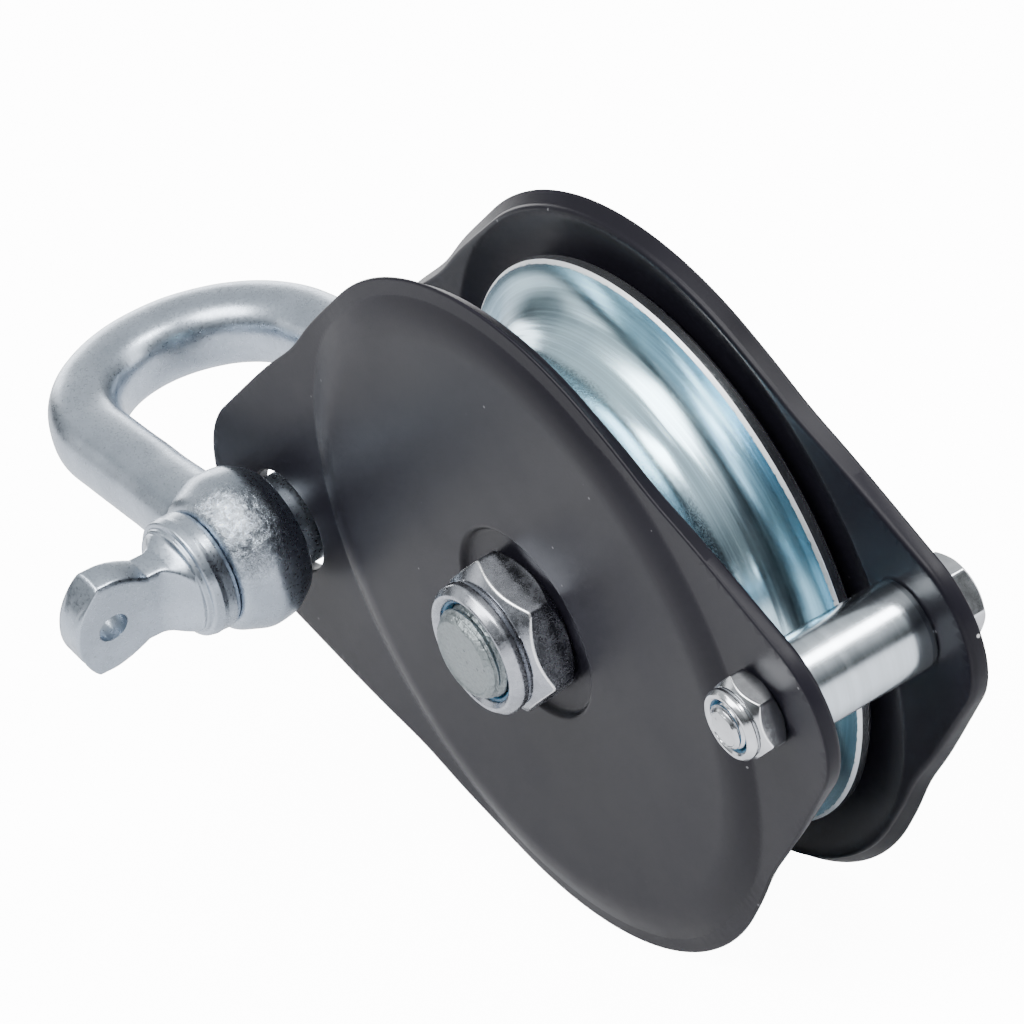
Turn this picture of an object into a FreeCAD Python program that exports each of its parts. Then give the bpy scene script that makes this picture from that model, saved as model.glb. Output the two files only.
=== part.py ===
import FreeCAD, Part
import math
import os

import Sketcher
from FreeCAD import Placement, Rotation, Vector

# Single sheave block with a bow shackle.  Millimetres.
# Origin: sheave centre.  +Y: along the axle, away from the nut side.
# -X: towards the shackle.  +Z: up, square to the block's length.

SIZES = {
    # sheave
    "rim_radius": 50.0,
    "rim_half_width": 12.4,
    "groove_radius": 9.8,
    "lip_chamfer": 0.6,
    "corner_chamfer": 0.5,
    # bearing stack
    "bush_outer_radius": 14.0,
    "sleeve_outer_radius": 11.0,
    "sleeve_bore_radius": 8.1,
    "running_gap": 0.05,
    "fit_gap": 0.02,
    "washer_outer_radius": 16.0,
    "washer_thickness": 1.0,
    # cheek plates
    "plate_thickness": 3.0,
    "ear_inner": 12.8,
    "dish_depth": 1.9,
    "recess_depth": 1.2,
    "recess_radius": 16.2,
    "crease_radius": 52.8,
    "foot_radius": 57.9,
    "bend_shift": 0.6,
    "belly_inner_radius": 58.1,
    "belly_outer_radius": 60.2,
    "tail_distance": 65.5,
    "tail_nose_radius": 16.5,
    "head_distance": 73.5,
    "head_hole_distance": 74.6,
    "head_nose_radius": 21.8,
    "crease_fillet": 3.0,
    "axle_hole_radius": 8.2,
    "tail_hole_radius": 4.2,
    "head_hole_radius": 8.7,
    "cutter_reach": 120.0,
    # axle bolt and nut, M16
    "axle_shank_radius": 8.0,
    "axle_head_flat": 12.0,
    "axle_head_height": 10.0,
    "axle_nut_height": 12.0,
    "axle_nut_hex": 8.4,
    "axle_nut_mouth": 8.8,
    "axle_end_stand": 2.3,
    "axle_end_chamfer": 1.3,
    # tail bolt and nut, M8
    "tail_shank_radius": 4.0,
    "tail_head_flat": 6.5,
    "tail_head_height": 7.5,
    "tail_nut_height": 7.0,
    "tail_nut_hex": 5.0,
    "tail_nut_mouth": 4.5,
    "tail_end_stand": 1.0,
    "tail_end_chamfer": 0.8,
    "tail_bolt_turn": 20.0,
    # shares common to both sizes of nut and bolt
    "hex_bevel_share": 0.97,
    "hex_bevel_drop": 0.18,
    "hex_reach_share": 1.3,
    "nut_collar_share": 0.95,
    "nut_round_share": 0.55,
    "nut_pocket_share": 0.35,
    "nut_lip_share": 0.22,
    "nut_pocket_sink": 0.2,
    "join_overlap": 0.5,
    "cut_margin": 1.0,
    # spacer
    "spacer_radius": 7.8,
    "spacer_round": 0.8,
    # bow shackle
    "shackle_shift": 0.6,
    "shackle_rest_angle": 8.0,
    "bow_bar_radius": 6.4,
    "bow_radius": 21.4,
    "bow_centre": 43.9,
    "leg_offset": 25.2,
    "ear_radius": 13.7,
    "ear_half_width": 6.9,
    "ear_round": 4.5,
    "pin_radius": 8.0,
    "pin_clear_radius": 8.2,
    "collar_radius": 10.4,
    "collar_width": 5.0,
    "collar_round": 1.2,
    "neck_radius": 9.2,
    "neck_length": 5.0,
    "neck_end_radius": 7.0,
    "neck_step": 0.6,
    "bead_groove": 0.4,
    "tab_root_width": 7.9,
    "tab_root_length": 8.5,
    "tab_end_width": 11.0,
    "tab_thickness": 5.6,
    "tab_length": 21.5,
    "tab_bulge": 4.2,
    "tab_corner_share": 0.8,
    "tab_corner_rise": 2.0,
    "tab_turn": -63.0,
    "eye_radius": 2.7,
    "eye_setback": 6.8,
    "pin_end_stand": 1.0,
    "pin_end_chamfer": 1.0,
}

doc = FreeCAD.newDocument("sheave_block")
sheet = doc.addObject("Spreadsheet::Sheet", "Dims")
for row, (alias, size) in enumerate(SIZES.items(), start=1):
    sheet.set("A%d" % row, alias)
    sheet.set("B%d" % row, str(size))
    sheet.setAlias("B%d" % row, alias)
doc.recompute()


class Dim:
    """A size that carries its number and its spreadsheet expression."""

    def __init__(self, value, text):
        self.value = value
        self.text = text

    def __add__(self, other):
        other = as_dim(other)
        return Dim(self.value + other.value, "(%s + %s)" % (self.text, other.text))

    def __sub__(self, other):
        other = as_dim(other)
        return Dim(self.value - other.value, "(%s - %s)" % (self.text, other.text))

    def __rsub__(self, other):
        return as_dim(other) - self

    def __mul__(self, factor):
        other = as_dim(factor)
        return Dim(self.value * other.value, "(%s * %s)" % (self.text, other.text))

    def __neg__(self):
        return Dim(-self.value, "(0 - %s)" % self.text)


def as_dim(value):
    if isinstance(value, Dim):
        return value
    return Dim(float(value), repr(float(value)))


def size(alias):
    return Dim(SIZES[alias], "Dims.%s" % alias)


def new_body(label):
    body = doc.addObject("PartDesign::Body", label)
    body.Label = label
    return body


def origin_plane(body, role):
    return next(f for f in body.Origin.OriginFeatures if f.Role == role)


def new_sketch(body, name, role, height=None):
    """Sketch on one of the body's origin planes, lifted along the plane's normal."""
    sketch = body.newObject("Sketcher::SketchObject", name)
    sketch.AttachmentSupport = [(origin_plane(body, role), "")]
    sketch.MapMode = "FlatFace"
    if height is not None:
        sketch.AttachmentOffset = Placement(Vector(0, 0, height.value), Rotation())
        sketch.setExpression("AttachmentOffset.Base.z", height.text)
    return sketch


def constrain(sketch, constraint, expression=None):
    index = sketch.addConstraint(constraint)
    if expression is not None:
        sketch.setExpression("Constraints[%d]" % index, expression.text)


def pin_point(sketch, edge, end, x, y):
    """Hold one end of an edge at x, y from the sketch origin."""
    constrain(sketch, Sketcher.Constraint("DistanceX", -1, 1, edge, end, x.value), x)
    constrain(sketch, Sketcher.Constraint("DistanceY", -1, 1, edge, end, y.value), y)


def arc_between(start, end, radius):
    """Arc of at most a half turn; a positive radius bulges to the left of the chord."""
    chord = end - start
    half = chord.Length / 2.0
    sagitta = abs(radius) - math.sqrt(max(radius * radius - half * half, 0.0))
    left = Vector(-chord.y, chord.x, 0).normalize()
    middle = (start + end) * 0.5 + left * math.copysign(sagitta, radius)
    return Part.Arc(start, middle, end)


def closed_profile(sketch, corners):
    """Outline through corners (x, y) or (x, y, radius of the arc that leaves the corner)."""
    points = [Vector(as_dim(c[0]).value, as_dim(c[1]).value, 0) for c in corners]
    first = sketch.GeometryCount
    count = len(corners)
    for i, corner in enumerate(corners):
        start, end = points[i], points[(i + 1) % count]
        if len(corner) == 3:
            sketch.addGeometry(arc_between(start, end, corner[2].value), False)
        else:
            sketch.addGeometry(Part.LineSegment(start, end), False)
    starts = []
    for i, corner in enumerate(corners):
        is_arc = len(corner) == 3
        clockwise = is_arc and corner[2].value > 0
        starts.append(2 if clockwise else 1)
    for i in range(count):
        j = (i + 1) % count
        end_of_i = 3 - starts[i]
        sketch.addConstraint(Sketcher.Constraint("Coincident", first + i, end_of_i, first + j, starts[j]))
    for i, corner in enumerate(corners):
        pin_point(sketch, first + i, starts[i], as_dim(corner[0]), as_dim(corner[1]))
        if len(corner) == 3:
            arc_size = corner[2] if corner[2].value > 0 else -corner[2]
            constrain(sketch, Sketcher.Constraint("Radius", first + i, arc_size.value), arc_size)


def turned(body, name, outlines, feature="PartDesign::Revolution"):
    """Full turn about the body's Y axis of outlines given as (radius, distance along Y)."""
    sketch = new_sketch(body, name + "_profile", "XY_Plane")
    for corners in outlines:
        closed_profile(sketch, corners)
    turn = body.newObject(feature, name)
    turn.Profile = sketch
    turn.ReferenceAxis = (sketch, ["V_Axis"])
    turn.Angle = 360.0
    return turn


def ring(inner, outer, low, high):
    return [(inner, low), (outer, low), (outer, high), (inner, high)]


def put(body, x=None, y=None, axis=None, angle=None):
    """Place a sub-part: offsets as sizes, an optional turn about a principal axis."""
    x = x or as_dim(0)
    y = y or as_dim(0)
    rotation = Rotation(axis, angle.value) if axis else Rotation()
    body.Placement = Placement(Vector(x.value, y.value, 0), rotation)
    body.setExpression("Placement.Base.x", x.text)
    body.setExpression("Placement.Base.y", y.text)


def circle_at(sketch, x, radius):
    index = sketch.addGeometry(Part.Circle(Vector(x.value, 0, 0), Vector(0, 0, 1), radius.value), False)
    constrain(sketch, Sketcher.Constraint("Radius", index, radius.value), radius)
    constrain(sketch, Sketcher.Constraint("PointOnObject", index, 3, -1))
    constrain(sketch, Sketcher.Constraint("DistanceX", -1, 1, index, 3, x.value), x)


# ---------------------------------------------------------------- derived sizes

ear_outer = size("ear_inner") + size("plate_thickness")
floor_inner = size("ear_inner") + size("dish_depth")
floor_outer = floor_inner + size("plate_thickness")
recess_inner = floor_inner - size("recess_depth")
recess_outer = floor_outer - size("recess_depth")
shackle_ear_outer = size("leg_offset") + size("ear_half_width")


# ---------------------------------------------------------------- cheeks

def cheek_outline(body, name, height, belly):
    """Round belly with straight tangent flanks to a narrow tail nose and a blunter head nose."""
    sketch = new_sketch(body, name, "XZ_Plane", -height)
    ends = (("tail_distance", "tail_nose_radius", 1), ("head_distance", "head_nose_radius", -1))
    lean = {}
    for distance, nose, side in ends:
        lean[side] = math.asin((belly.value - SIZES[nose]) / SIZES[distance])

    def on_belly(side, up):
        return Vector(side * math.sin(lean[side]), up * math.cos(lean[side]), 0) * belly.value

    def on_nose(distance, nose, side, up):
        centre = Vector(side * SIZES[distance], 0, 0)
        return centre + Vector(side * math.sin(lean[side]), up * math.cos(lean[side]), 0) * SIZES[nose]

    tail, head = ends
    top = Vector(0, belly.value, 0)
    tail_tip = Vector(SIZES[tail[0]] + SIZES[tail[1]], 0, 0)
    head_tip = Vector(-SIZES[head[0]] - SIZES[head[1]], 0, 0)
    sketch.addGeometry(Part.Arc(on_belly(1, 1), top, on_belly(-1, 1)), False)
    sketch.addGeometry(Part.LineSegment(on_belly(-1, 1), on_nose(*head, 1)), False)
    sketch.addGeometry(Part.Arc(on_nose(*head, 1), head_tip, on_nose(*head, -1)), False)
    sketch.addGeometry(Part.LineSegment(on_nose(*head, -1), on_belly(-1, -1)), False)
    sketch.addGeometry(Part.Arc(on_belly(-1, -1), -top, on_belly(1, -1)), False)
    sketch.addGeometry(Part.LineSegment(on_belly(1, -1), on_nose(*tail, -1)), False)
    sketch.addGeometry(Part.Arc(on_nose(*tail, -1), tail_tip, on_nose(*tail, 1)), False)
    sketch.addGeometry(Part.LineSegment(on_nose(*tail, 1), on_belly(1, 1)), False)
    for edge in range(8):
        sketch.addConstraint(Sketcher.Constraint("Tangent", edge, 2, (edge + 1) % 8, 1))
    for edge in (0, 4):
        sketch.addConstraint(Sketcher.Constraint("Coincident", edge, 3, -1, 1))
        constrain(sketch, Sketcher.Constraint("Radius", edge, belly.value), belly)
    head_x, tail_x = size("head_distance"), size("tail_distance")
    for edge, nose in ((2, "head_nose_radius"), (6, "tail_nose_radius")):
        constrain(sketch, Sketcher.Constraint("Radius", edge, SIZES[nose]), size(nose))
        sketch.addConstraint(Sketcher.Constraint("PointOnObject", edge, 3, -1))
    constrain(sketch, Sketcher.Constraint("DistanceX", 2, 3, -1, 1, head_x.value), head_x)
    constrain(sketch, Sketcher.Constraint("DistanceX", -1, 1, 6, 3, tail_x.value), tail_x)
    return sketch


def circle_edges(shape, radius, height):
    """Names of the circular edges of one radius lying at one height along Y."""
    names = []
    for number, edge in enumerate(shape.Edges, start=1):
        curve = edge.Curve
        if not isinstance(curve, Part.Circle):
            continue
        if abs(curve.Radius - radius) < 0.01 and abs(curve.Center.y - height) < 0.01:
            names.append("Edge%d" % number)
    return names


def build_far_cheek():
    body = new_body("far_cheek")
    margin = size("cut_margin")
    blank_top = floor_outer + margin * 0.5
    inner_outline = cheek_outline(body, "inner_outline", size("ear_inner"), size("belly_inner_radius"))
    outer_outline = cheek_outline(body, "outer_outline", blank_top, size("belly_outer_radius"))
    blank = body.newObject("PartDesign::AdditiveLoft", "blank")
    blank.Profile = inner_outline
    blank.Sections = [outer_outline]
    blank.Ruled = True
    shift = size("bend_shift")
    recess = size("recess_radius")
    crease = size("crease_radius")
    foot = size("foot_radius")
    reach = size("cutter_reach")
    above = [
        (0, recess_outer), (recess, recess_outer), (recess + shift, floor_outer), (crease, floor_outer),
        (foot, ear_outer), (reach, ear_outer), (reach, floor_outer + margin), (0, floor_outer + margin),
    ]
    turned(body, "outer_form", [above], "PartDesign::Groove")
    below = [
        (0, recess_inner), (recess + shift, recess_inner), (recess + shift * 2, floor_inner),
        (crease - shift, floor_inner), (foot - shift, size("ear_inner")),
        (foot - shift, size("ear_inner") - margin), (0, size("ear_inner") - margin),
    ]
    turned(body, "inner_form", [below], "PartDesign::Groove")
    holes = new_sketch(body, "hole_circles", "XZ_Plane")
    circle_at(holes, as_dim(0), size("axle_hole_radius"))
    circle_at(holes, size("tail_distance"), size("tail_hole_radius"))
    circle_at(holes, -size("head_hole_distance"), size("head_hole_radius"))
    cut = body.newObject("PartDesign::Pocket", "holes")
    cut.Profile = holes
    cut.Type = "ThroughAll"
    cut.Midplane = True
    doc.recompute()
    bends = circle_edges(cut.Shape, SIZES["crease_radius"], floor_outer.value)
    bend = body.newObject("PartDesign::Fillet", "crease_bend")
    bend.Base = (cut, bends)
    bend.Radius = SIZES["crease_fillet"]
    bend.setExpression("Radius", "Dims.crease_fillet")
    doc.recompute()
    return body


def build_near_cheek(far_cheek):
    """The two pressings are mirror images across the sheave's middle plane."""
    mirror = doc.addObject("Part::Mirroring", "near_cheek")
    mirror.Label = "near_cheek"
    mirror.Source = far_cheek
    mirror.Base = Vector(0, 0, 0)
    mirror.Normal = Vector(0, 1, 0)
    return mirror


# ---------------------------------------------------------------- sheave and bearing

def build_sheave():
    body = new_body("sheave")
    rim, half, groove = size("rim_radius"), size("rim_half_width"), size("groove_radius")
    lip, corner = size("lip_chamfer"), size("corner_chamfer")
    bore = size("bush_outer_radius") + size("fit_gap")
    outline = [
        (bore, -half), (rim - corner, -half), (rim, corner - half),
        (rim, -groove - lip), (rim - lip, -groove, groove), (rim - lip - groove, 0, groove),
        (rim - lip, groove), (rim, groove + lip),
        (rim, half - corner), (rim - corner, half), (bore, half),
    ]
    turned(body, "wheel", [outline])
    return body


def build_ring(label, inner, outer, low, high):
    body = new_body(label)
    turned(body, label + "_turn", [ring(inner, outer, low, high)])
    return body


def build_bearing():
    half = size("rim_half_width")
    stack_end = recess_inner - size("fit_gap")
    sleeve_bore, sleeve_outer = size("sleeve_bore_radius"), size("sleeve_outer_radius")
    bush_bore = sleeve_outer + size("running_gap")
    build_ring("sheave_bush", bush_bore, size("bush_outer_radius"), -half, half)
    build_ring("axle_sleeve", sleeve_bore, sleeve_outer, -stack_end, stack_end)
    washer_in = stack_end - size("washer_thickness")
    build_ring("far_thrust_washer", bush_bore, size("washer_outer_radius"), washer_in, stack_end)
    build_ring("near_thrust_washer", bush_bore, size("washer_outer_radius"), -stack_end, -washer_in)


# ---------------------------------------------------------------- bolts and nuts

def hexagon(sketch, flat):
    """Regular hexagon about the origin, half the size across flats given."""
    corner = flat.value / math.cos(math.radians(30))
    points = []
    for k in range(6):
        angle = math.radians(60 * k + 30)
        points.append(Vector(corner * math.cos(angle), corner * math.sin(angle), 0))
    for k in range(6):
        sketch.addGeometry(Part.LineSegment(points[k], points[(k + 1) % 6]), False)
    for k in range(6):
        sketch.addConstraint(Sketcher.Constraint("Coincident", k, 2, (k + 1) % 6, 1))
    guide = sketch.addGeometry(Part.Circle(Vector(0, 0, 0), Vector(0, 0, 1), flat.value), True)
    sketch.addConstraint(Sketcher.Constraint("Coincident", guide, 3, -1, 1))
    constrain(sketch, Sketcher.Constraint("Radius", guide, flat.value), flat)
    for k in range(6):
        sketch.addConstraint(Sketcher.Constraint("Tangent", k, guide))
    for k in range(1, 6):
        sketch.addConstraint(Sketcher.Constraint("Equal", 0, k))
    sketch.addConstraint(Sketcher.Constraint("Vertical", 5))


def hex_prism(body, name, flat, length):
    """Hexagonal prism from the body's origin towards +Y."""
    sketch = new_sketch(body, name + "_hexagon", "XZ_Plane")
    hexagon(sketch, flat)
    pad = body.newObject("PartDesign::Pad", name)
    pad.Profile = sketch
    pad.Length = length.value
    pad.setExpression("Length", length.text)
    pad.Reversed = True
    return pad


def corner_cut(flat, level, inwards):
    """Outline that bevels the corners of a hexagon's end face; inwards is +1 or -1 along the axis."""
    edge, reach = flat * size("hex_bevel_share"), flat * size("hex_reach_share")
    inner = level + flat * size("hex_bevel_drop") * inwards
    outer = level - size("cut_margin") * inwards
    return [(edge, level), (reach, inner), (reach, outer), (edge, outer)]


def build_nut(label, prefix, seat, x=None):
    """Prevailing-torque nut: bevelled hexagon, rounded collar and a mouth over the insert."""
    body = new_body(label)
    flat = size(prefix + "_head_flat")
    total = size(prefix + "_nut_height")
    hex_part = size(prefix + "_nut_hex")
    mouth = size(prefix + "_nut_mouth")
    hex_prism(body, label + "_hex", flat, hex_part)
    turned(body, label + "_bevel", [corner_cut(flat, hex_part, -1)], "PartDesign::Groove")
    collar = flat * size("nut_collar_share")
    rise = total - hex_part
    round_over = rise * size("nut_round_share")
    shank = size(prefix + "_shank_radius")
    root = hex_part - size("join_overlap")
    dome = [
        (shank, root), (collar, root), (collar, total - round_over, -round_over),
        (collar - round_over, total), (shank, total),
    ]
    turned(body, label + "_collar", [dome])
    bore = shank + size("fit_gap")
    margin = size("cut_margin")
    pocket_radius = mouth + (collar - mouth) * size("nut_pocket_share")
    pocket_low = hex_part - size("nut_pocket_sink")
    pocket_high = total - rise * size("nut_lip_share")
    hollow = [
        (0, -margin), (bore, -margin), (bore, pocket_low), (pocket_radius, pocket_low),
        (pocket_radius, pocket_high), (mouth, pocket_high), (mouth, total + margin), (0, total + margin),
    ]
    turned(body, label + "_bore", [hollow], "PartDesign::Groove")
    put(body, x, -seat, Vector(0, 0, 1), as_dim(180))
    insert = new_body(label + "_insert")
    gap = size("fit_gap")
    nylon = ring(bore, pocket_radius - gap, pocket_low + gap, pocket_high - gap)
    turned(insert, label + "_insert_turn", [nylon])
    put(insert, x, -seat, Vector(0, 0, 1), as_dim(180))


def build_bolt(label, prefix, seat, x=None, turn=0.0):
    """Hexagon-head bolt, head outside the far cheek, end standing out of the near nut."""
    body = new_body(label)
    flat = size(prefix + "_head_flat")
    head = size(prefix + "_head_height")
    shank = size(prefix + "_shank_radius")
    chamfer = size(prefix + "_end_chamfer")
    length = head + seat * 2 + size(prefix + "_nut_height") + size(prefix + "_end_stand")
    hex_prism(body, label + "_head", flat, head)
    turned(body, label + "_bevel", [corner_cut(flat, as_dim(0), 1)], "PartDesign::Groove")
    root = head - size("join_overlap")
    rod = [(0, root), (shank, root), (shank, length - chamfer), (shank - chamfer, length), (0, length)]
    turned(body, label + "_shank", [rod])
    half_turn = math.radians(turn / 2)
    flip_axis = Vector(-math.sin(half_turn), 0, math.cos(half_turn))
    put(body, x, seat + head, flip_axis, as_dim(180))


def build_tail_fasteners():
    place = size("tail_distance")
    build_bolt("tail_bolt", "tail", ear_outer, place, SIZES["tail_bolt_turn"])
    build_nut("tail_nut", "tail", ear_outer, place)
    spacer = new_body("tail_spacer")
    end = size("ear_inner") - size("fit_gap")
    bore = size("tail_hole_radius")
    outer, soft = size("spacer_radius"), size("spacer_round")
    outline = [
        (bore, -end), (outer - soft, -end, -soft), (outer, soft - end),
        (outer, end - soft, -soft), (outer - soft, end), (bore, end),
    ]
    turned(spacer, "spacer_turn", [outline])
    put(spacer, place)


# ---------------------------------------------------------------- shackle

def bow_path(body):
    """Bow centreline: an arc with a tangent leg to each ear."""
    sketch = new_sketch(body, "bow_path", "XY_Plane")
    reach, across = SIZES["bow_centre"], SIZES["leg_offset"]
    radius = SIZES["bow_radius"]
    polar = math.atan2(across, -reach) - math.acos(radius / math.hypot(reach, across))
    touch = Vector(reach + radius * math.cos(polar), radius * math.sin(polar), 0)
    mirrored = Vector(touch.x, -touch.y, 0)
    crown = Vector(reach + radius, 0, 0)
    sketch.addGeometry(Part.LineSegment(Vector(0, across, 0), touch), False)
    sketch.addGeometry(Part.Arc(touch, crown, mirrored), False)
    sketch.addGeometry(Part.LineSegment(mirrored, Vector(0, -across, 0)), False)
    sketch.addConstraint(Sketcher.Constraint("Tangent", 0, 2, 1, 2))
    sketch.addConstraint(Sketcher.Constraint("Tangent", 1, 1, 2, 1))
    sketch.addConstraint(Sketcher.Constraint("PointOnObject", 1, 3, -1))
    constrain(sketch, Sketcher.Constraint("Radius", 1, radius), size("bow_radius"))
    constrain(sketch, Sketcher.Constraint("DistanceX", -1, 1, 1, 3, reach), size("bow_centre"))
    pin_point(sketch, 0, 1, as_dim(0), size("leg_offset"))
    pin_point(sketch, 2, 2, as_dim(0), -size("leg_offset"))
    return sketch


def ear_outline(side):
    """Half section of one rounded ear, side +1 or -1 along Y."""
    low = size("leg_offset") - size("ear_half_width")
    high = shackle_ear_outer
    outer, soft = size("ear_radius"), size("ear_round")
    if side > 0:
        return [(0, low), (outer - soft, low, -soft), (outer, low + soft),
                (outer, high - soft, -soft), (outer - soft, high), (0, high)]
    return [(0, -high), (outer - soft, -high, -soft), (outer, soft - high),
            (outer, -low - soft, -soft), (outer - soft, -low), (0, -low)]


def build_shackle_bow():
    body = new_body("shackle_bow")
    path = bow_path(body)
    section = new_sketch(body, "bow_section", "YZ_Plane")
    bar = size("bow_bar_radius")
    offset = size("leg_offset")
    circle = Part.Circle(Vector(offset.value, 0, 0), Vector(0, 0, 1), bar.value)
    section.addGeometry(circle, False)
    section.addConstraint(Sketcher.Constraint("PointOnObject", 0, 3, -1))
    constrain(section, Sketcher.Constraint("DistanceX", -1, 1, 0, 3, offset.value), offset)
    constrain(section, Sketcher.Constraint("Radius", 0, bar.value), bar)
    bar_sweep = body.newObject("PartDesign::AdditivePipe", "bow_bar")
    bar_sweep.Profile = section
    bar_sweep.Spine = (path, [])
    turned(body, "ears", [ear_outline(1), ear_outline(-1)])
    thread = size("pin_radius") + size("fit_gap")
    clear = size("pin_clear_radius")
    reach = shackle_ear_outer + size("cut_margin")
    bore = [(0, -reach), (clear, -reach), (clear, 0), (thread, 0), (thread, reach), (0, reach)]
    turned(body, "pin_bore", [bore], "PartDesign::Groove")
    put(body, -size("head_hole_distance"), -size("shackle_shift"), Vector(0, 1, 0),
        as_dim(180) + size("shackle_rest_angle"))
    return body


def build_shackle_pin():
    body = new_body("shackle_pin")
    pin, collar = size("pin_radius"), size("collar_radius")
    soft = size("collar_round")
    seat = shackle_ear_outer + size("fit_gap")
    collar_end = seat + size("collar_width")
    neck_end = collar_end + size("neck_length")
    tip = shackle_ear_outer + size("pin_end_stand")
    neck, groove, chamfer = size("neck_radius"), size("bead_groove"), size("pin_end_chamfer")
    bead = size("collar_width") * 0.5 - soft - collar_end
    outline = [
        (0, -neck_end), (size("neck_end_radius"), -neck_end), (neck, -collar_end - size("neck_step")),
        (neck, -collar_end), (collar - soft, -collar_end, -soft), (collar, soft - collar_end),
        (collar, bead), (collar - groove, bead + groove), (collar, bead + groove * 2),
        (collar, -seat - soft * 0.5), (collar - soft * 0.5, -seat),
        (pin, -seat), (pin, tip - chamfer), (pin - chamfer, tip), (0, tip),
    ]
    turned(body, "pin_turn", [outline])
    add_tab(body, collar_end)
    put(body, -size("head_hole_distance"), -size("shackle_shift"), Vector(0, 1, 0), size("tab_turn"))
    return body


def add_tab(body, collar_end):
    """Flat finger tab with a bulging end and a round eye for a mousing wire."""
    root, wide = size("tab_root_width"), size("tab_end_width")
    start = collar_end + size("join_overlap")
    bend = start + size("tab_root_length")
    shoulder = collar_end + size("tab_length") - size("tab_bulge")
    corner = wide * size("tab_corner_share")
    widest = shoulder - size("tab_corner_rise")
    sagitta = SIZES["tab_bulge"]
    arc_radius = as_dim((corner.value ** 2 + sagitta ** 2) / (2 * sagitta))
    tab = new_sketch(body, "tab_outline", "XY_Plane")
    closed_profile(tab, [
        (root, -start), (root, -bend), (wide, -widest), (corner, -shoulder, arc_radius),
        (-corner, -shoulder), (-wide, -widest), (-root, -bend), (-root, -start),
    ])
    slab = body.newObject("PartDesign::Pad", "tab")
    slab.Profile = tab
    slab.Midplane = True
    slab.Length = SIZES["tab_thickness"]
    slab.setExpression("Length", "Dims.tab_thickness")
    eye = new_sketch(body, "eye_circle", "XY_Plane")
    eye_radius = size("eye_radius")
    eye_y = size("eye_setback") - collar_end - size("tab_length")
    eye.addGeometry(Part.Circle(Vector(0, eye_y.value, 0), Vector(0, 0, 1), eye_radius.value), False)
    constrain(eye, Sketcher.Constraint("Radius", 0, eye_radius.value), eye_radius)
    constrain(eye, Sketcher.Constraint("PointOnObject", 0, 3, -2))
    constrain(eye, Sketcher.Constraint("DistanceY", -1, 1, 0, 3, eye_y.value), eye_y)
    hole = body.newObject("PartDesign::Pocket", "eye")
    hole.Profile = eye
    hole.Type = "ThroughAll"
    hole.Midplane = True


# ---------------------------------------------------------------- assembly and files

def build_all():
    far_cheek = build_far_cheek()
    build_near_cheek(far_cheek)
    build_sheave()
    build_bearing()
    build_bolt("axle_bolt", "axle", recess_outer)
    build_nut("axle_nut", "axle", recess_outer)
    build_tail_fasteners()
    build_shackle_bow()
    build_shackle_pin()
    doc.recompute()


NODES = (
    "near_cheek", "far_cheek", "sheave", "sheave_bush", "axle_sleeve", "near_thrust_washer",
    "far_thrust_washer", "axle_bolt", "axle_nut", "axle_nut_insert", "tail_bolt", "tail_spacer",
    "tail_nut", "tail_nut_insert", "shackle_bow", "shackle_pin",
)


def write_parts():
    for feature in doc.Objects:
        if "Invalid" in feature.State or "Error" in feature.State:
            raise RuntimeError("feature %s did not build: %s" % (feature.Name, feature.State))
    os.makedirs("parts", exist_ok=True)
    for node in NODES:
        shape = doc.getObject(node).Shape
        if shape.isNull() or not shape.isValid():
            raise RuntimeError("sub-part %s has no valid shape" % node)
        if len(shape.Solids) != 1:
            raise RuntimeError("sub-part %s has %d solids" % (node, len(shape.Solids)))
        shape.exportStep("parts/%s.step" % node)
        box = shape.BoundBox
        print("%-20s %9.1f mm3  x %7.2f %7.2f  y %7.2f %7.2f  z %7.2f %7.2f" % (
            node, shape.Volume, box.XMin, box.XMax, box.YMin, box.YMax, box.ZMin, box.ZMax))


build_all()
write_parts()
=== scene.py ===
import math
from types import SimpleNamespace

import bmesh
import bpy
import numpy as np
from mathutils import Matrix, Vector, noise
from mathutils.geometry import delaunay_2d_cdt


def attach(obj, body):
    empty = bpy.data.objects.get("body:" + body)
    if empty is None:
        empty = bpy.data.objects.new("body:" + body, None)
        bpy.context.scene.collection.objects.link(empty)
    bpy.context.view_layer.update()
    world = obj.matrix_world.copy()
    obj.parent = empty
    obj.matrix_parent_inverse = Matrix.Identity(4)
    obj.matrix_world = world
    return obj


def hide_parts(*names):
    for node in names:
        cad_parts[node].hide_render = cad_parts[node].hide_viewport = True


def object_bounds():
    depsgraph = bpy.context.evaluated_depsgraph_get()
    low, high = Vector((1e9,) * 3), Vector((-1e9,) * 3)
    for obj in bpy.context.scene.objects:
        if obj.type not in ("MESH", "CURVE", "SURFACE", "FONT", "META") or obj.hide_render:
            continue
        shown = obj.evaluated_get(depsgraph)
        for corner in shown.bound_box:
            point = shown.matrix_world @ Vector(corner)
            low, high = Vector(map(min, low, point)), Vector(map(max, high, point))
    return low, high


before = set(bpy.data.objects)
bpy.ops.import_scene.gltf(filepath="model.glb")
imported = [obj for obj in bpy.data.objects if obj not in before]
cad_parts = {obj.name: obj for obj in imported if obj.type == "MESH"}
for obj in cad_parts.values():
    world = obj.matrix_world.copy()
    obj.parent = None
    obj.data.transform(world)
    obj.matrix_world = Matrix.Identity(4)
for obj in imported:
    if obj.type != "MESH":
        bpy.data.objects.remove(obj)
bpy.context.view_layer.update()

# All sizes are in millimetres in the frame's own axes: +Y along the axle, -X to the shackle, +Z up.
MM = 0.001
TURN = 2.0 * math.pi

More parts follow.
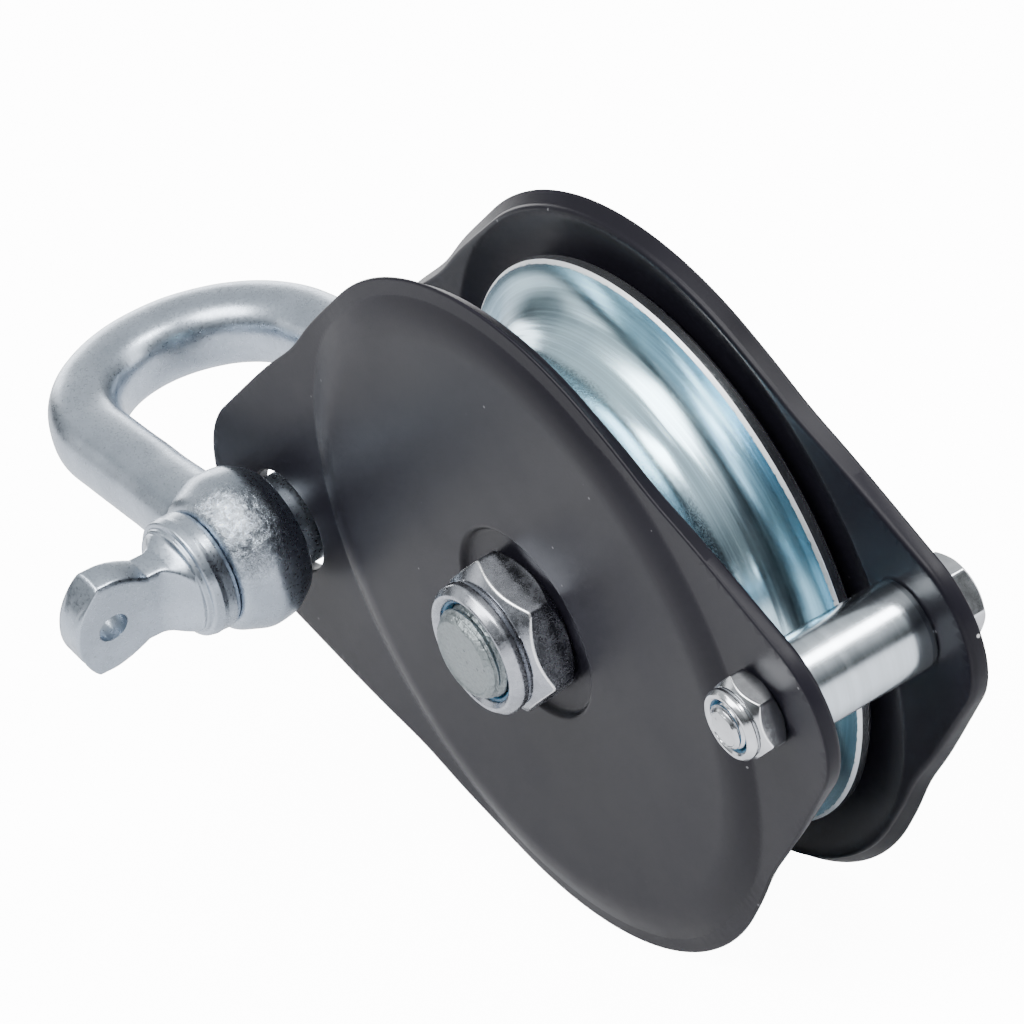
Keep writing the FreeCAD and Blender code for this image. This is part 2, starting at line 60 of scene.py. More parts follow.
# Cheek plates: heights are distances from the middle plane, radii are about the axle.
SIDE_NEAR, SIDE_FAR = -1.0, 1.0
PLATE = 3.0
EAR_INNER = 12.8
EAR_OUTER = EAR_INNER + PLATE
FLOOR_INNER = 14.7
RECESS_STEP, RECESS_RADIUS = 1.2, 16.5
CREASE_RADIUS, FOOT_RADIUS = 52.8, 57.9
BELLY_INNER, BELLY_OUTER = 58.1, 59.7
TAIL_X, TAIL_NOSE = 65.5, 16.5
HEAD_X, HEAD_NOSE = -73.5, 21.8
AXLE_HOLE, TAIL_HOLE, HEAD_HOLE = 8.2, 4.2, 9.1
PIN_X, PIN_Y = -74.6, -0.6
# Holes through each cheek: x, radius, points round the edge.
HOLES = ((0.0, AXLE_HOLE, 72), (TAIL_X, TAIL_HOLE, 48), (PIN_X, HEAD_HOLE, 96))
EDGE_OUTER, EDGE_INNER = 0.45, 1.0
# Section of a rounded edge, from the face to the wall: inset and drop as shares of its size.
EDGE_BEND = ((1.0, 0.0), (0.6, 0.08), (0.29, 0.29), (0.08, 0.6), (0.0, 1.0))
INNER_BEND_SHIFT = 0.6
WAVE_DEPTH, WAVE_PER_MM = 0.10, 0.021
# Hollows of the outline: polar angle in degrees and depth.
FLANK_DIPS = ((146.0, 0.85), (214.0, 0.85), (33.0, 0.6), (327.0, 0.6))
DIP_SPREAD = math.radians(7.0)

# Sheave: the crease is a faint tool mark in the groove, placed as a share of the groove's half turn.
RIM_RADIUS, RIM_HALF, GROOVE_RADIUS = 50.0, 12.4, 9.8
GROOVE_CREASE, GROOVE_CREASE_AT = 0.16, 0.62

# Each bolt with its nut: x, seat of the nut, half width across flats, then heights and radii.
AXLE_SET = SimpleNamespace(
    x=0.0, seat=16.5, flat=12.0, nut_height=12.0, hex_height=7.9, mouth=8.9,
    shank=8.0, head=10.0, head_turn=0.0, stand=1.7, pitch=2.0, thread=0.9, chamfer=1.3,
    insert_outer=9.6, insert_top=10.9, insert_foot=8.6)
TAIL_SET = SimpleNamespace(
    x=TAIL_X, seat=EAR_OUTER, flat=6.5, nut_height=7.0, hex_height=4.8, mouth=4.6,
    shank=4.0, head=7.5, head_turn=math.radians(20.0), stand=0.8, pitch=1.25, thread=0.55, chamfer=0.8,
    insert_outer=4.9, insert_top=6.4, insert_foot=5.2)
NUT_BEVEL_SHARE, NUT_BEVEL_SLOPE = 0.93, 0.85
HEAD_SEAT_BEVEL_SHARE, HEAD_TOP_BEVEL_SHARE, HEAD_BEVEL_SLOPE = 0.97, 0.90, 0.58

# Shackle: bar, bow and ears in its own frame, which is raised by the rest angle.
REST_ANGLE = math.radians(8.0)
BAR, BOW_RADIUS, BOW_CENTRE, LEG = 6.4, 21.4, 43.9, 25.2
LEG_ROOT, LEG_SWELL, LEG_SWELL_LENGTH = 9.2, 0.10, 16.0
BAR_SQUARENESS = 2.5
EAR_RADIUS, EAR_HALF, EAR_BORE = 13.7, 6.9, 8.25
STRUCK, STRUCK_REACH = (-66.5, -30.0, 6.5), 10.5

# Shackle pin: the tab is turned about the pin's axis, the collar and tab lean off it.
COLLAR_SEAT = PIN_Y - LEG - EAR_HALF
NECK_DROP, NECK_RADIUS = 5.9, 8.9
TAB_TURN = math.radians(-27.0)
TAB_LENGTH, TAB_SAGITTA, TAB_HALF_WIDTH, TAB_HALF_THICK = 20.3, 4.8, 10.9, 2.8
TAB_CORNER = 14.0
EYE_RADIUS, EYE_DROP = 2.7, 19.7
LEAN, LEAN_FROM = 0.055, -30.0


# ---------------------------------------------------------------- mesh helpers

def add_object(name, points, faces):
    """Smooth-shaded object from points in millimetres."""
    mesh = bpy.data.meshes.new(name)
    metres = [tuple(float(c) * MM for c in p) for p in points]
    mesh.from_pydata(metres, [], [tuple(int(i) for i in f) for f in faces])
    mesh.validate()
    mesh.polygons.foreach_set("use_smooth", [True] * len(mesh.polygons))
    obj = bpy.data.objects.new(name, mesh)
    bpy.context.scene.collection.objects.link(obj)
    return obj


def clean(obj, merge=0.002):
    """Merges doubled points and turns every face outwards."""
    bm = bmesh.new()
    bm.from_mesh(obj.data)
    bmesh.ops.remove_doubles(bm, verts=bm.verts, dist=merge * MM)
    bmesh.ops.recalc_face_normals(bm, faces=bm.faces)
    bm.to_mesh(obj.data)
    bm.free()
    return obj


def flat_friendly(obj):
    """Keeps large flats flat next to small rounded edges."""
    weigh = obj.modifiers.new("weighted", "WEIGHTED_NORMAL")
    weigh.keep_sharp = True
    return obj


def apply_modifiers(obj):
    """Replaces the mesh by its modified shape."""
    graph = bpy.context.evaluated_depsgraph_get()
    graph.update()
    mesh = bpy.data.meshes.new_from_object(obj.evaluated_get(graph))
    obj.modifiers.clear()
    obj.data = mesh
    mesh.polygons.foreach_set("use_smooth", [True] * len(mesh.polygons))
    return obj


def soft_path(corners, steps=5):
    """Polyline with rounded corners: each corner is (a, b) or (a, b, radius)."""
    count = len(corners)
    path = []
    for i, corner in enumerate(corners):
        here = np.array(corner[:2], float)
        if len(corner) < 3:
            path.append(here)
            continue
        before = np.array(corners[i - 1][:2], float) - here
        after = np.array(corners[(i + 1) % count][:2], float) - here
        reach_before, reach_after = np.linalg.norm(before), np.linalg.norm(after)
        before, after = before / reach_before, after / reach_after
        opening = math.acos(max(-1.0, min(1.0, float(before @ after))))
        cut = min(corner[2] / math.tan(opening / 2), 0.49 * reach_before, 0.49 * reach_after)
        start, end = here + before * cut, here + after * cut
        for k in range(steps + 1):
            t = k / steps
            path.append(start * (1 - t) ** 2 + here * 2 * t * (1 - t) + end * t * t)
    return path


def ring_angles(segments):
    """Evenly spaced angles of one turn."""
    return np.arange(segments) * TURN / segments


def skin(name, rings, centre=(0.0, 0.0), closed=False, edge_highlight=()):
    """Surface through rings of (radius, y) arrays about a line parallel to Y; the listed edge rings are
    marked for a painted highlight.
    """
    segments = len(rings[0][0])
    angles = ring_angles(segments)
    points = []
    for radius, level in rings:
        x = centre[0] + radius * np.cos(angles)
        z = centre[1] + radius * np.sin(angles)
        points.extend(zip(x, level, z))
    faces = []
    last = len(rings) if closed else len(rings) - 1
    for i in range(last):
        a, b = i * segments, ((i + 1) % len(rings)) * segments
        for j in range(segments):
            k = (j + 1) % segments
            faces.append((a + j, a + k, b + k, b + j))
    made = add_object(name, points, faces)
    marks = np.zeros(len(points))
    for ring in edge_highlight:
        marks[ring * segments:(ring + 1) * segments] = 1.0
    made.data.attributes.new("edge_highlight", "FLOAT", "POINT").data.foreach_set("value", marks)
    return clean(made)


def steady(radius, level, segments):
    """Plain round ring for skin."""
    return np.full(segments, float(radius)), np.full(segments, float(level))


def spin(name, corners, centre=(0.0, 0.0), segments=160, steps=5):
    """Turned piece. An outline that starts and ends on the axis closes there; any other is a ring."""
    path = soft_path(corners, steps)
    on_axis = corners[0][0] == 0 and corners[-1][0] == 0
    rings = [steady(r, y, segments) for r, y in path]
    return skin(name, rings, centre, closed=not on_axis)


def finish_piece(obj, material, body, node):
    """Dresses a visual piece, hangs it on its body and lets it stand for a node of the frame."""
    obj.data.materials.clear()
    obj.data.materials.append(material)
    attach(obj, body)
    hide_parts(node)


# ---------------------------------------------------------------- material helpers

class Maker:
    """A node tree with short calls for the few node kinds used here."""

    def __init__(self, name):
        self.material = bpy.data.materials.new(name)
        self.material.use_nodes = True
        self.tree = self.material.node_tree
        self.tree.nodes.clear()
        self.output = self.tree.nodes.new("ShaderNodeOutputMaterial")
        self.shader = self.tree.nodes.new("ShaderNodeBsdfPrincipled")
        self.tree.links.new(self.shader.outputs[0], self.output.inputs["Surface"])
        self.place = self.tree.nodes.new("ShaderNodeTexCoord").outputs["Object"]

    def put(self, socket, value):
        if hasattr(value, "is_output"):
            self.tree.links.new(value, socket)
        elif isinstance(value, tuple) and len(value) == 3 and socket.type == "RGBA":
            socket.default_value = (*value, 1.0)
        else:
            socket.default_value = value

    def node(self, kind, inputs=None, **settings):
        made = self.tree.nodes.new(kind)
        for key, value in settings.items():
            setattr(made, key, value)
        for key, value in (inputs or {}).items():
            self.put(made.inputs[key], value)
        return made

    def noise(self, per_mm, detail=3.0, rough=0.5, place=None, distort=0.0):
        return self.node("ShaderNodeTexNoise", {
            "Vector": place or self.place, "Scale": per_mm / MM, "Detail": detail,
            "Roughness": rough, "Distortion": distort}).outputs["Fac"]

    def curve(self, value, low, high, out_low=0.0, out_high=1.0, smooth=True):
        kind = "SMOOTHSTEP" if smooth else "LINEAR"
        return self.node("ShaderNodeMapRange", {
            "Value": value, "From Min": low, "From Max": high, "To Min": out_low, "To Max": out_high},
            interpolation_type=kind).outputs["Result"]

    def math(self, operation, a, b=0.0):
        return self.node("ShaderNodeMath", {0: a, 1: b}, operation=operation).outputs[0]

    def mix(self, share, a, b):
        made = self.tree.nodes.new("ShaderNodeMix")
        made.data_type = "RGBA"
        self.put(made.inputs[0], share)
        self.put(made.inputs[6], a)
        self.put(made.inputs[7], b)
        return made.outputs[2]

    def specks(self, per_mm, share, radius):
        """1 inside a few small random dots, 0 elsewhere."""
        cells = self.node("ShaderNodeTexVoronoi", {"Vector": self.place, "Scale": per_mm / MM})
        dot = self.curve(cells.outputs["Distance"], radius, radius * 0.5)
        lot = self.node("ShaderNodeSeparateColor", {0: cells.outputs["Color"]}).outputs[0]
        chosen = self.curve(lot, 1.0 - share, 1.0 - share + 0.001, smooth=False)
        return self.math("MULTIPLY", dot, chosen)

    def bump(self, height, depth_mm, normal=None):
        inputs = {"Height": height, "Distance": depth_mm * MM, "Strength": 1.0}
        if normal is not None:
            inputs["Normal"] = normal
        return self.node("ShaderNodeBump", inputs).outputs["Normal"]

    def around(self, centre=(0.0, 0.0)):
        """Coordinates (distance from a line parallel to Y, y) for marks left by turning."""
        split = self.node("ShaderNodeSeparateXYZ", {0: self.place})
        x = self.math("SUBTRACT", split.outputs["X"], centre[0] * MM)
        z = self.math("SUBTRACT", split.outputs["Z"], centre[1] * MM)
        squares = self.math("ADD", self.math("MULTIPLY", x, x), self.math("MULTIPLY", z, z))
        radius = self.math("SQRT", squares)
        joined = self.node("ShaderNodeCombineXYZ", {"X": radius, "Y": split.outputs["Y"], "Z": 0.0})
        return joined.outputs[0]

    def turning_direction(self):
        """Direction of the tool marks of a piece turned about Y."""
        return self.node("ShaderNodeTangent", direction_type="RADIAL", axis="Y").outputs[0]

    def surface(self, **inputs):
        names = {"colour": "Base Color", "metallic": "Metallic", "roughness": "Roughness",
                 "normal": "Normal", "specular": "Specular IOR Level", "anisotropic": "Anisotropic",
                 "tangent": "Tangent", "scatter": "Subsurface Weight",
                 "glow": "Emission Color", "glow_strength": "Emission Strength"}
        for key, value in inputs.items():
            self.put(self.shader.inputs[names[key]], value)
        return self.material


def scaled(colour, factor):
    return tuple(c * factor for c in colour)


def cheek_paint():
    """Satin charcoal powder coat: fine grain, faint clouding, dust."""
    dark, light = (0.0074, 0.0069, 0.0108), (0.0100, 0.0094, 0.0145)
    dust_grey, fluff_grey = (0.5, 0.5, 0.52), (0.8, 0.8, 0.8)
    m = Maker("cheek_paint")
    cloud = m.curve(m.noise(0.035, 4.0, 0.6), 0.3, 0.7)
    grain = m.noise(2.2, 2.0, 0.6)
    colour = m.mix(cloud, dark, light)
    dust = m.specks(0.16, 0.5, 0.05)
    fluff = m.specks(0.07, 0.4, 0.03)
    colour = m.mix(m.math("MULTIPLY", dust, 0.3), colour, dust_grey)
    colour = m.mix(m.math("MULTIPLY", fluff, 0.8), colour, fluff_grey)
    rough = m.curve(cloud, 0.0, 1.0, 0.34, 0.40)
    normal = m.bump(grain, 0.008)
    return m.surface(colour=colour, roughness=rough, normal=normal, specular=0.155)


def turned_metal(name, colour, roughness, centre=(0.0, 0.0), ring_depth=0.004):
    """Lathe-turned and plated: fine rings, light mottling, a few dark specks."""
    rings_per_mm = 2.2
    m = Maker(name)
    place = m.around(centre)
    fine = m.noise(rings_per_mm, 3.0, 0.65, place)
    coarse = m.noise(rings_per_mm * 0.18, 3.0, 0.6, place)
    blotch = m.noise(0.12, 4.0, 0.6)
    tint = m.mix(m.curve(blotch, 0.3, 0.75), scaled(colour, 0.86), colour)
    tint = m.mix(m.curve(coarse, 0.35, 0.6, 0.0, 0.35), tint, scaled(colour, 0.6))
    spots = m.specks(0.35, 0.25, 0.09)
    tint = m.mix(m.math("MULTIPLY", spots, 0.5), tint, scaled(colour, 0.35))
    rough = m.curve(m.math("ADD", fine, blotch), 0.7, 1.3, roughness * 0.8, roughness * 1.25)
    normal = m.bump(fine, ring_depth)
    return m.surface(colour=tint, metallic=1.0, roughness=rough, normal=normal,
                     anisotropic=0.6, tangent=m.turning_direction())


def sheave_zinc():
    """Turned groove: crisp rings, painted shade as a dark grainy band on the near half beside the near cheek,
    bright worn lips.
    """
    zinc, bright_zinc = (0.55, 0.77, 0.89), (0.66, 0.924, 1.0)
    shade_grey, edge_white = (0.09, 0.12, 0.14), (0.92, 0.95, 0.97)
    m = Maker("sheave_zinc")
    place = m.around()
    split = m.node("ShaderNodeSeparateXYZ", {0: place})
    radius, level = split.outputs["X"], split.outputs["Y"]
    fine = m.noise(5.0, 2.0, 0.7, place)
    streak = m.noise(2.4, 3.0, 0.6, place)
    blotch = m.noise(0.07, 2.0, 0.5)
    tint = m.mix(m.curve(streak, 0.40, 0.62), scaled(zinc, 0.80), zinc)
    tint = m.mix(m.curve(blotch, 0.4, 0.6, 0.0, 0.4), tint, bright_zinc)
    # Painted shade: a dark band on the near half of the groove, next to the near cheek, broken up by grain
    # and patches.
    band = m.math("MULTIPLY", m.curve(level, -8.0 * MM, -4.5 * MM), m.curve(level, 1.0 * MM, -1.5 * MM))
    grain = m.curve(m.noise(2.6, 3.0, 0.75), 0.42, 0.58)
    patch = m.curve(m.noise(0.05, 2.0, 0.5), 0.38, 0.55, 0.25, 0.85)
    grain_and_shade = m.math("MULTIPLY", m.math("MULTIPLY", band, grain), patch)
    tint = m.mix(grain_and_shade, tint, shade_grey)
    ragged = m.math("MULTIPLY", m.noise(0.9, 3.0, 0.7), 0.9 * MM)
    lip = m.curve(m.math("ADD", radius, ragged), (RIM_RADIUS - 0.25) * MM, RIM_RADIUS * MM)
    tint = m.mix(lip, tint, edge_white)
    inside_rim = m.curve(radius, RIM_RADIUS * MM, (RIM_RADIUS - 0.02) * MM)
    worn_lip = m.math("MULTIPLY", lip, inside_rim)
    rough = m.curve(m.math("ADD", fine, blotch), 0.7, 1.3, 0.18, 0.26)
    rough = m.math("MAXIMUM", rough, m.math("MULTIPLY", grain_and_shade, 0.5))
    rough = m.math("MAXIMUM", rough, m.math("MULTIPLY", worn_lip, 0.45))
    normal = m.bump(m.math("ADD", fine, grain_and_shade), 0.004)
    return m.surface(colour=tint, metallic=1.0, roughness=rough, normal=normal,
                     anisotropic=0.5, tangent=m.turning_direction())


def rough_zinc(name, colour, roughness, lump, depth, pits):
    """Zinc over pressed steel: grain, faint spangle, small pits, a painted highlight along the marked edges.
    """
    edge_white = (0.95, 0.96, 0.97)
    m = Maker(name)
    grain = m.noise(1.6, 4.0, 0.65)
    spangle = m.noise(lump, 3.0, 0.55)
    tint = m.mix(m.curve(spangle, 0.3, 0.7), scaled(colour, 0.82), colour)
    pit = m.specks(0.45, pits, 0.16)
    tint = m.mix(m.math("MULTIPLY", pit, 0.55), tint, scaled(colour, 0.3))
    edge_highlight = m.node("ShaderNodeAttribute", attribute_name="edge_highlight").outputs["Fac"]
    # Painted highlight: near-white along the marked top bevel edge of each nut.
    tint = m.mix(m.curve(edge_highlight, 0.4, 0.9, 0.0, 0.9), tint, edge_white)
    rough = m.curve(m.math("ADD", grain, spangle), 0.7, 1.3, roughness * 0.75, roughness * 1.25)
    low = m.bump(spangle, depth * 3.0)
    normal = m.bump(m.math("SUBTRACT", grain, pit), depth, low)
    return m.surface(colour=tint, metallic=1.0, roughness=rough, normal=normal)


def shackle_zinc():
    """Galvanised forging: even satin zinc, fine creases where the near ear was struck."""
    dull, clean_zinc = (0.41, 0.465, 0.535), (0.49, 0.55, 0.63)
    mark_grey, speckle_grey, speck_dark = (0.26, 0.29, 0.32), (0.295, 0.335, 0.385), (0.16, 0.17, 0.18)
    m = Maker("shackle_zinc")
    grain = m.noise(1.8, 3.0, 0.6)
    spangle = m.noise(0.10, 3.0, 0.5)
    away = m.node("ShaderNodeVectorMath", {0: m.place, 1: scaled(STRUCK, MM)}, operation="DISTANCE")
    level = m.node("ShaderNodeSeparateXYZ", {0: m.place}).outputs["Y"]
    on_ear = m.curve(level, COLLAR_SEAT * MM, (COLLAR_SEAT + 0.6) * MM)
    struck = m.math("MULTIPLY", on_ear, m.curve(away.outputs["Value"], 11.0 * MM, 6.0 * MM))
    crease = m.noise(0.9, 5.0, 0.75, distort=1.2)
    mark = m.math("MULTIPLY", struck, m.curve(crease, 0.42, 0.50))
    tint = m.mix(m.curve(spangle, 0.35, 0.65), dull, clean_zinc)
    tint = m.mix(m.math("MULTIPLY", mark, 0.6), tint, mark_grey)
    speckle = m.curve(m.noise(1.1, 4.0, 0.8), 0.56, 0.66, 0.0, 0.45)
    tint = m.mix(speckle, tint, speckle_grey)
    tint = m.mix(m.math("MULTIPLY", m.specks(0.5, 0.3, 0.12), 0.5), tint, speck_dark)
    rough = m.curve(grain, 0.3, 0.7, 0.26, 0.36)
    rough = m.math("SUBTRACT", rough, m.math("MULTIPLY", struck, 0.06))
    low = m.bump(spangle, 0.08)
    crumple = m.math("MULTIPLY", struck, m.math("MULTIPLY", crease, 14.0))
    normal = m.bump(m.math("ADD", grain, crumple), 0.012, low)
    return m.surface(colour=tint, metallic=1.0, roughness=rough, normal=normal)


def nylon():
    """Blue nylon with a faint grain."""
    deep_blue, light_blue = (0.02, 0.12, 0.24), (0.05, 0.24, 0.42)
    m = Maker("nylon_blue")
    grain = m.noise(1.2, 3.0, 0.6)
    colour = m.mix(m.curve(grain, 0.35, 0.65), deep_blue, light_blue)
    return m.surface(colour=colour, roughness=0.35, normal=m.bump(grain, 0.02), scatter=0.1)


# ---------------------------------------------------------------- cheeks

def flank_dip(polar):
    """Slight hollow where the round belly runs into each straight flank."""
    depth = np.zeros_like(polar)
    for middle, deep in FLANK_DIPS:
        away = np.mod(polar - math.radians(middle) + math.pi, TURN) - math.pi
        depth += deep * np.exp(-(away / DIP_SPREAD) ** 2)
    return depth


def hull_polar(belly, inset):
    """Distance from the sheave centre to the cheek's outline, as a table over the polar angle."""
    normals = np.linspace(0.0, TURN, 1440, endpoint=False)
    direction = np.stack([np.cos(normals), np.sin(normals)], 1)
    circles = ((0.0, belly), (TAIL_X, TAIL_NOSE), (HEAD_X, HEAD_NOSE))
    supports = np.stack([x * direction[:, 0] + r for x, r in circles], 1)
    chosen = supports.argmax(1)
    centres = np.array([c[0] for c in circles])[chosen]
    radii = np.array([c[1] for c in circles])[chosen] - inset
    points = direction * radii[:, None]
    points[:, 0] += centres
    loop = np.vstack([points, points[:1]])
    dense = []
    for start, end in zip(loop, loop[1:]):
        pieces = max(1, int(np.linalg.norm(end - start) / 0.25))
        dense.extend(start + (end - start) * t / pieces for t in range(pieces))
    dense = np.array(dense)
    polar = np.mod(np.arctan2(dense[:, 1], dense[:, 0]), TURN)
    order = polar.argsort()
    return polar[order], (np.hypot(dense[:, 0], dense[:, 1]) - flank_dip(polar))[order]


def outline_loop(polar, belly, inset):
    """Points of the cheek's outline at the given polar angles."""
    table_angle, table_radius = hull_polar(belly, inset)
    radius = np.interp(polar, table_angle, table_radius, period=TURN)
    return np.stack([radius * np.cos(polar), radius * np.sin(polar)], 1)


def smoothed(radius, knots, width):
    """Piecewise-linear profile averaged over a width, so its bends are soft."""
    offsets = np.linspace(-0.5, 0.5, 13) * width
    x, y = zip(*knots)
    return np.mean([np.interp(radius + o, x, y) for o in offsets], axis=0)


def plate_height(points, outer):
    """Distance from the middle plane to the outer or inner face of a cheek."""
    radius = np.hypot(points[:, 0], points[:, 1])
    shift = 0.0 if outer else -PLATE
    ear, floor = EAR_OUTER + shift, FLOOR_INNER + PLATE + shift
    bend_in = 0.0 if outer else INNER_BEND_SHIFT
    crease, foot = CREASE_RADIUS - bend_in, FOOT_RADIUS - bend_in
    slope = (ear - floor) / (foot - crease)
    knots = ((0, floor), (crease, floor), (200, floor + slope * (200 - crease)))
    offsets = np.linspace(-0.35, 0.35, 7)
    dish = np.mean([np.maximum(ear, smoothed(radius + o, knots, 5.5)) for o in offsets], axis=0)
    rim = RECESS_RADIUS + bend_in
    step = smoothed(radius, ((0, RECESS_STEP), (rim - 0.3, RECESS_STEP), (rim + 0.3, 0.0), (200, 0.0)), 0.5)
    return dish - step


def inside_outline(points, belly, inset):
    """True for each point that lies inside the cheek's outline."""
    table_angle, table_radius = hull_polar(belly, inset)
    polar = np.mod(np.arctan2(points[:, 1], points[:, 0]), TURN)
    return np.hypot(points[:, 0], points[:, 1]) < np.interp(polar, table_angle, table_radius, period=TURN)


def fill_points(belly, edge):
    """Interior points of a cheek face: close rings at the bends, a plain grid elsewhere."""
    recess_floor = [9.8, 11.0, 13.0, 14.8]
    recess_wall = np.arange(15.5, 17.8, 0.2)
    dish_floor = np.arange(19.0, 47.0, 2.2)
    crease = np.arange(47.5, 56.5, 0.6)
    foot = np.arange(56.7, 58.7, 0.18)
    beyond_foot = np.arange(59.0, 61.8, 0.6)
    radii = np.concatenate([recess_floor, recess_wall, dish_floor, crease, foot, beyond_foot])
    rings = []
    for radius in radii:
        count = int(min(300, max(200, radius * 5)))
        angle = ring_angles(count) + 0.37 * radius
        rings.append(np.stack([radius * np.cos(angle), radius * np.sin(angle)], 1))
    x, z = np.meshgrid(np.arange(-96.0, 84.0, 1.9), np.arange(-56.0, 57.0, 1.9))
    grid = np.stack([x.ravel(), z.ravel()], 1)
    grid = grid[np.hypot(grid[:, 0], grid[:, 1]) > 62.2]
    points = np.vstack(rings + [grid])
    keep = inside_outline(points, belly, edge + 0.5)
    for x, radius, _ in HOLES:
        keep &= np.hypot(points[:, 0] - x, points[:, 1]) > radius + edge + 0.4
    return points[keep]


def fill_face(loops, points, edge):
    """Triangles over the area between an outer loop and the hole loops; loop points come first."""
    verts, edges = [], []
    for loop in loops:
        first, count = len(verts), len(loop)
        verts.extend(Vector(p) for p in loop)
        edges.extend((first + j, first + (j + 1) % count) for j in range(count))
    verts.extend(Vector(p) for p in points)
    _, _, out_faces, origins, _, _ = delaunay_2d_cdt(verts, edges, [], 1, 1e-6)
    back = [o[0] if o else -1 for o in origins]
    xy = np.array([tuple(v) for v in verts])
    faces = []
    for face in out_faces:
        tri = [back[v] for v in face]
        middle = xy[tri].mean(0)
        in_hole = False
        for x, radius, _ in HOLES:
            in_hole = in_hole or math.hypot(middle[0] - x, middle[1]) < radius + edge * 0.99
        if not in_hole and -1 not in tri:
            faces.append(tri)
    return xy, faces


def cheek_loops(polar, belly, inset):
    """The outline and the rims of the holes, all moved into the metal by an inset."""
    loops = [outline_loop(polar, belly, inset)]
    for x, radius, count in HOLES:
        angle = ring_angles(count)
        reach = radius + inset
        loops.append(np.stack([x + reach * np.cos(angle), reach * np.sin(angle)], 1))
    return loops


def build_cheek(name, side, seed):
    """Pressed plate: an outer and an inner face joined by rounded edges at the outline and the holes."""
    tail_arc, head_arc = ring_angles(300) * 0.12 - 0.37, ring_angles(300) * 0.14 + 2.7
    polar = np.concatenate([ring_angles(420), tail_arc, head_arc])
    polar = np.unique(np.round(np.mod(polar, TURN), 5))
    edge_size = {True: EDGE_OUTER, False: EDGE_INNER}
    belly = {True: BELLY_OUTER, False: BELLY_INNER}
    points, faces = [], []

    def add_points(flat, height):
        start = len(points)
        points.extend((p[0], side * h, p[1]) for p, h in zip(flat, height))
        return start

    rims = {}
    for outer in (True, False):
        edge = edge_size[outer]
        loops = cheek_loops(polar, belly[outer], edge)
        xy, triangles = fill_face(loops, fill_points(BELLY_INNER, edge), edge)
        wave = np.array([noise.noise(Vector((x * WAVE_PER_MM, z * WAVE_PER_MM, seed))) for x, z in xy])
        height = plate_height(xy, outer) + WAVE_DEPTH * wave
        start = add_points(xy, height)
        faces.extend([start + i for i in triangle] for triangle in triangles)
        offset = 0
        rims[outer] = []
        for loop in loops:
            rims[outer].append((start + offset, height[offset:offset + len(loop)]))
            offset += len(loop)

    for which in range(1 + len(HOLES)):
        outer_start, outer_height = rims[True][which]
        inner_start, inner_height = rims[False][which]
        chain = [outer_start]
        for inset, drop in EDGE_BEND[1:]:
            flat = cheek_loops(polar, BELLY_OUTER, inset * EDGE_OUTER)[which]
            chain.append(add_points(flat, outer_height - drop * EDGE_OUTER))
        for inset, drop in EDGE_BEND[:0:-1]:
            flat = cheek_loops(polar, BELLY_INNER, inset * EDGE_INNER)[which]
            chain.append(add_points(flat, inner_height + drop * EDGE_INNER))
        chain.append(inner_start)
        count = len(outer_height)
        for a, b in zip(chain, chain[1:]):
            for j in range(count):
                k = (j + 1) % count
                faces.append((a + j, a + k, b + k, b + j))
    return flat_friendly(clean(add_object(name, points, faces), 0.0005))


# ---------------------------------------------------------------- sheave

def build_sheave():
    """Turned wheel: flat sides, rounded rim, round rope groove with a faint tool mark."""
    rim, half, groove = RIM_RADIUS, RIM_HALF, GROOVE_RADIUS
    lip = rim - 0.5
    bore, chamfer, side_ring = 14.02, 0.38, 46.5
    steps = 48
    arc = []
    for k in range(1, steps):
        a = math.pi * k / steps
        crease = GROOVE_CREASE * math.exp(-((a - GROOVE_CREASE_AT * math.pi) / 0.03) ** 2)
        arc.append((lip - (groove + crease) * math.sin(a), -groove * math.cos(a)))
    corners = [
        (bore, -half + 0.2), (bore + chamfer, -half), (side_ring, -half),
        (rim - 0.5, -half, 0.25), (rim, -half + 0.5, 0.25), (rim, -groove - 0.6, 0.15), (lip, -groove, 0.12),
    ] + arc + [
        (lip, groove, 0.12), (rim, groove + 0.6, 0.15), (rim, half - 0.5, 0.25), (rim - 0.5, half, 0.25),
        (side_ring, half), (bore + chamfer, half), (bore, half - 0.2),
    ]
    return flat_friendly(spin("sheave_wheel", corners, segments=320, steps=3))


# ---------------------------------------------------------------- nuts and bolts

def hex_radius(angles, flat, turn, sharpness=55.0):
    """Polar radius of a hexagon with slightly rounded corners."""
    total = np.zeros_like(angles)
    for k in range(6):
        facing = np.maximum(np.cos(angles - turn - k * TURN / 6), 0.0)
        total += facing ** sharpness
    return flat / total ** (1.0 / sharpness)


def hex_band(angles, flat, turn, height, low_bevel, high_bevel, slope):
    """Rings of a hexagonal band that starts at level 0, each end bevelled by a cone."""
    outer = hex_radius(angles, flat, turn)
    line, guard = 0.009 * flat, 0.03 * flat
    start = flat * low_bevel
    rings = [
        (np.full_like(angles, start), np.zeros_like(angles)),
        (outer - line, (outer - line - start) * slope),
        (outer, (outer - start) * slope + line * 0.6),
        (outer, np.full_like(angles, height / 2)),
    ]
    start = flat * high_bevel
    arc = height - (outer - start) * slope
    rings += [
        (outer, arc - guard),
        (outer, arc - line),
        (outer - line, arc + line * slope),
        (outer - guard, arc + guard * slope),
        (np.full_like(angles, start), np.full_like(angles, height)),
    ]
    return rings


